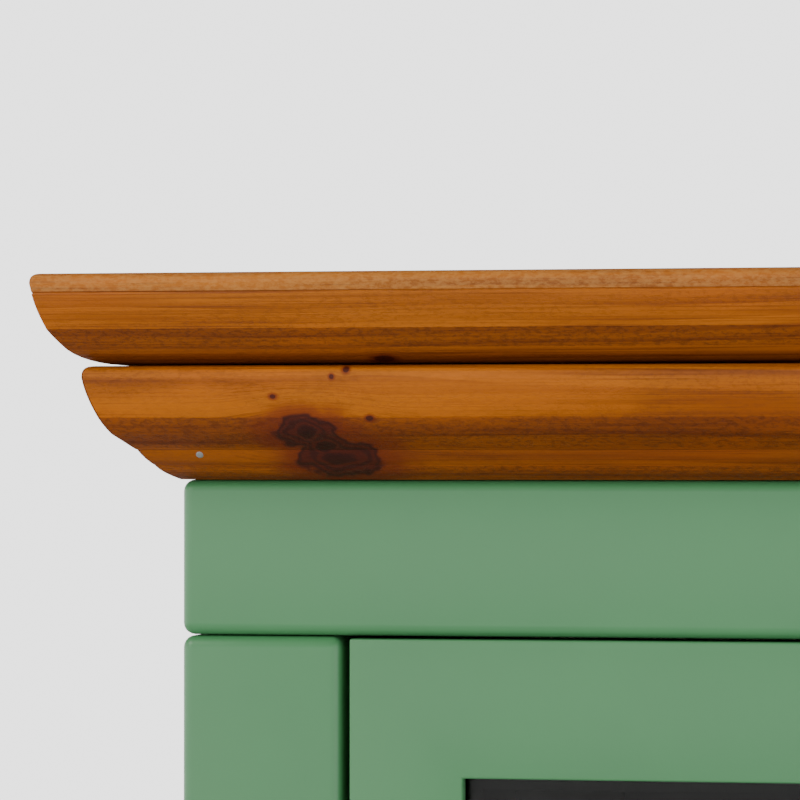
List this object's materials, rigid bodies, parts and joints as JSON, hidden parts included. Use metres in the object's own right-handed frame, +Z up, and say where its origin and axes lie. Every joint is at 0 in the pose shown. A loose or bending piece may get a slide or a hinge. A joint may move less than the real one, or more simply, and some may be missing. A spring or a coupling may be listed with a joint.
{
  "type": "wood burning stove",
  "caption": "Wood burning stove with a painted round-edged casing, glazed door, ash drawer, air controls, shaker grate and rear flue, under a stained pine mantel cornice.",
  "frame": {"origin": "on the floor, at the middle of the whole stove's width and depth (mantel and flue collar included)", "axes": "+X to the right of someone facing the door, +Y towards the wall behind the stove, +Z up"},
  "size_m": [0.6752, 0.4436, 0.715],
  "materials": {
    "green_iron": "satin sage-green stove paint on cast iron",
    "green_steel": "satin sage-green stove paint on sheet steel",
    "black_iron": "matt black stove finish",
    "black_steel": "matt black high-temperature paint",
    "bright_steel": "plain steel",
    "zinc_steel": "galvanised sheet steel",
    "pine": "orange-brown stained and waxed pine",
    "firebrick": "bare light refractory brick and vermiculite",
    "white_board": "bare calcium silicate insulation board",
    "rope": "graphite-grey glass fibre rope and tape",
    "black_glass": "clear ceramic glass, dark against the firebox"
  },
  "bodies": {
    "stove": {"base_rail_front": "green_iron", "base_rail_left": "green_iron", "base_rail_right": "green_iron", "top_rail_front": "green_iron", "top_rail_left": "green_iron", "top_rail_right": "green_iron", "post_rear_left": "green_iron", "post_front_left": "green_iron", "post_rear_right": "green_iron", "post_front_right": "green_iron", "side_panel_left": "green_steel", "side_panel_right": "green_steel", "rear_panel": "black_steel", "base_plate": "black_steel", "casing_top_plate": "black_steel", "plinth": "black_iron", "moulding_front": "pine", "moulding_left": "pine", "moulding_right": "pine", "mantel_board": "pine", "mouth_plate": "black_iron", "firebox_wrap": "black_steel", "firebox_roof": "black_steel", "firebox_floor": "black_steel", "heat_shield_board": "white_board", "hearth_tile": "firebrick", "brick_rear": "firebrick", "brick_left": "firebrick", "brick_right": "firebrick", "baffle": "firebrick", "log_guard": "black_iron", "grate": "black_iron", "ash_box": "black_steel", "air_rail": "black_iron", "flue_collar": "black_iron", "hinge_upper_fixed": "black_steel", "hinge_upper_pin": "bright_steel", "hinge_lower_fixed": "black_steel", "hinge_lower_pin": "bright_steel", "striker_plate": "bright_steel"},
    "door": {"door_frame": "green_iron", "door_glass": "black_glass", "glass_tape": "rope", "glass_retainer": "black_steel", "door_rope": "rope", "hinge_upper_leaf": "black_steel", "hinge_lower_leaf": "black_steel", "latch_rose": "black_steel"},
    "latch_handle": {"latch_lever": "black_iron", "latch_grip": "pine", "latch_tongue": "bright_steel"},
    "ash_drawer": {"ash_pan": "zinc_steel", "ash_drawer_front": "green_iron", "ash_drawer_knob": "pine"},
    "grate_shaker": {"grate_shaker": "black_iron", "shaker_knob": "black_iron"},
    "air_control_left": {"air_slide_left": "black_steel", "air_knob_left": "black_iron"},
    "air_control_right": {"air_slide_right": "black_steel", "air_knob_right": "black_iron"}
  },
  "joints": [
    {"name": "door_hinge", "type": "hinge", "parent": "stove", "child": "door", "pos_m": [-0.2487, -0.1892, 0.3946], "axis": [0, 0, 1], "range_deg": [-120, 0]},
    {"name": "latch_turn", "type": "hinge", "parent": "door", "child": "latch_handle", "pos_m": [0.2384, -0.1842, 0.3946], "axis": [0, 1, 0], "range_deg": [0, 90]},
    {"name": "ash_drawer_slide", "type": "slide", "parent": "stove", "child": "ash_drawer", "axis": [0, -1, 0], "range_m": [0, 0.23]},
    {"name": "grate_shake", "type": "slide", "parent": "stove", "child": "grate_shaker", "axis": [0, -1, 0], "range_m": [0, 0.018]},
    {"name": "air_left", "type": "slide", "parent": "stove", "child": "air_control_left", "axis": [-1, 0, 0], "range_m": [0, 0.009]},
    {"name": "air_right", "type": "slide", "parent": "stove", "child": "air_control_right", "axis": [1, 0, 0], "range_m": [0, 0.009]}
  ]
}
